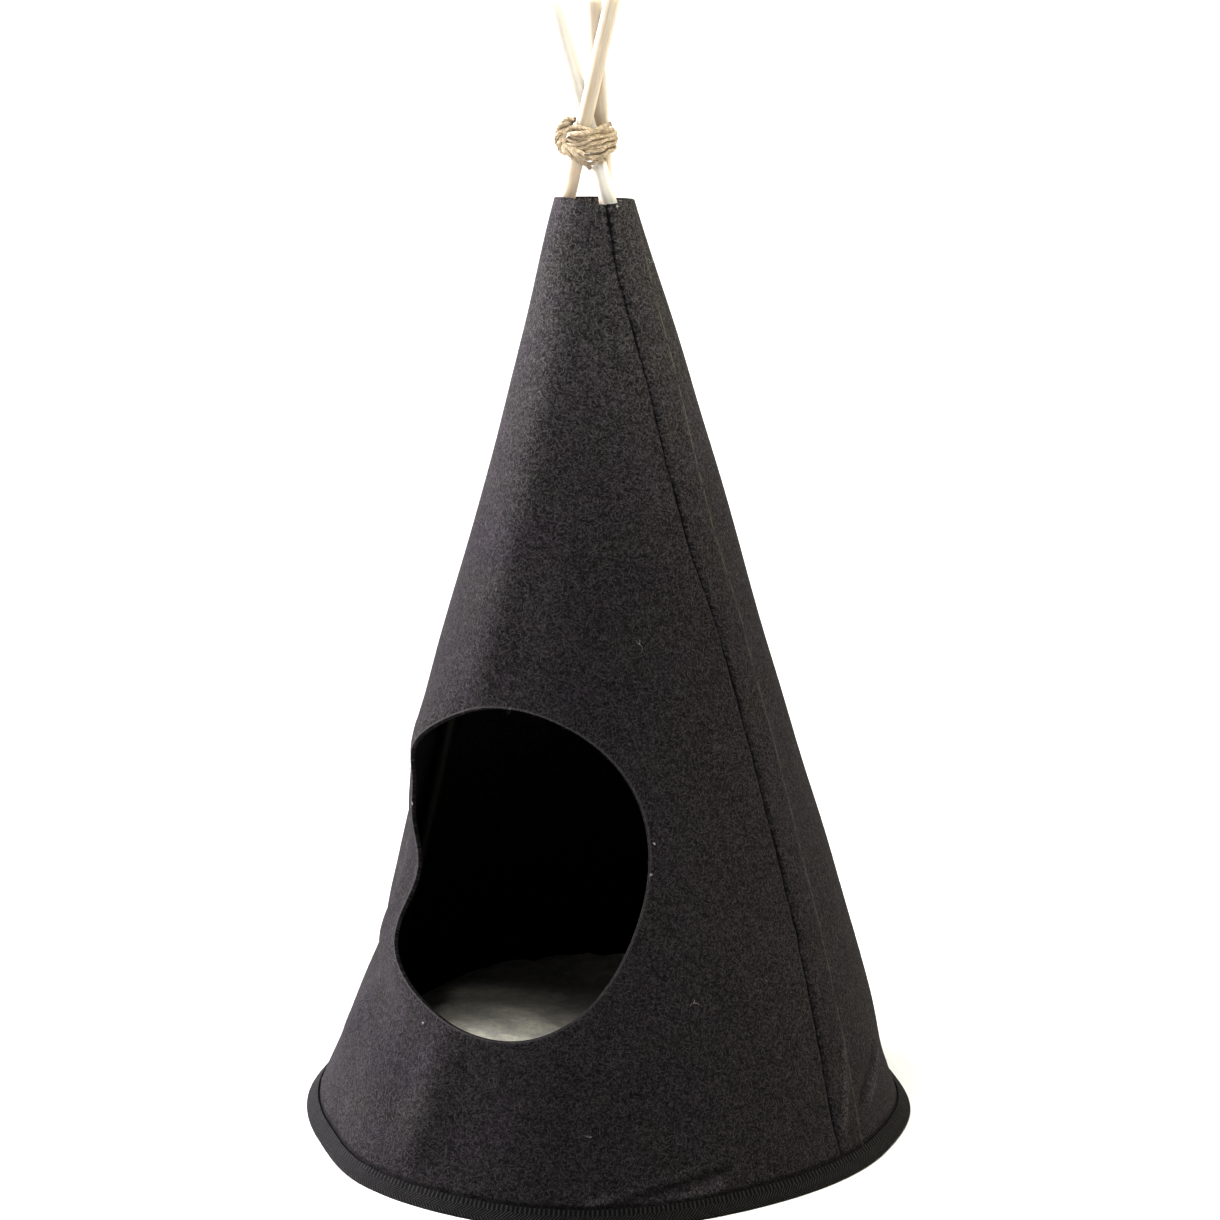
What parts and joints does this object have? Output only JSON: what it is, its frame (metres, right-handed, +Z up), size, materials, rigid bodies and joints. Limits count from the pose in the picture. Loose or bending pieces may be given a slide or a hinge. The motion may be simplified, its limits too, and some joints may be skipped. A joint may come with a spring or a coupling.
{
  "type": "felt cat teepee on three lashed poles, with a cushion",
  "caption": "Cone-shaped felt pet tent with a round doorway, standing over wooden poles lashed with twine, with a bound floor and a round plush cushion inside.",
  "frame": {"origin": "middle of the foot, on the surface it stands on", "axes": "+Z up, the doorway faces -Y, +X to the right of someone who looks into the doorway"},
  "size_m": [0.4486, 0.4547, 0.8107],
  "materials": {
    "felt": "charcoal heather felt, matt",
    "tape": "black herringbone twill tape",
    "plush": "light grey short plush",
    "wood": "pale raw wood",
    "twine": "twisted jute twine"
  },
  "bodies": {
    "root": {"felt_cone": "felt", "base_panel": "felt", "binding": "tape", "cushion": "plush", "pole_right": "wood", "pole_left": "wood", "pole_back": "wood", "lashing": "twine"}
  },
  "joints": []
}
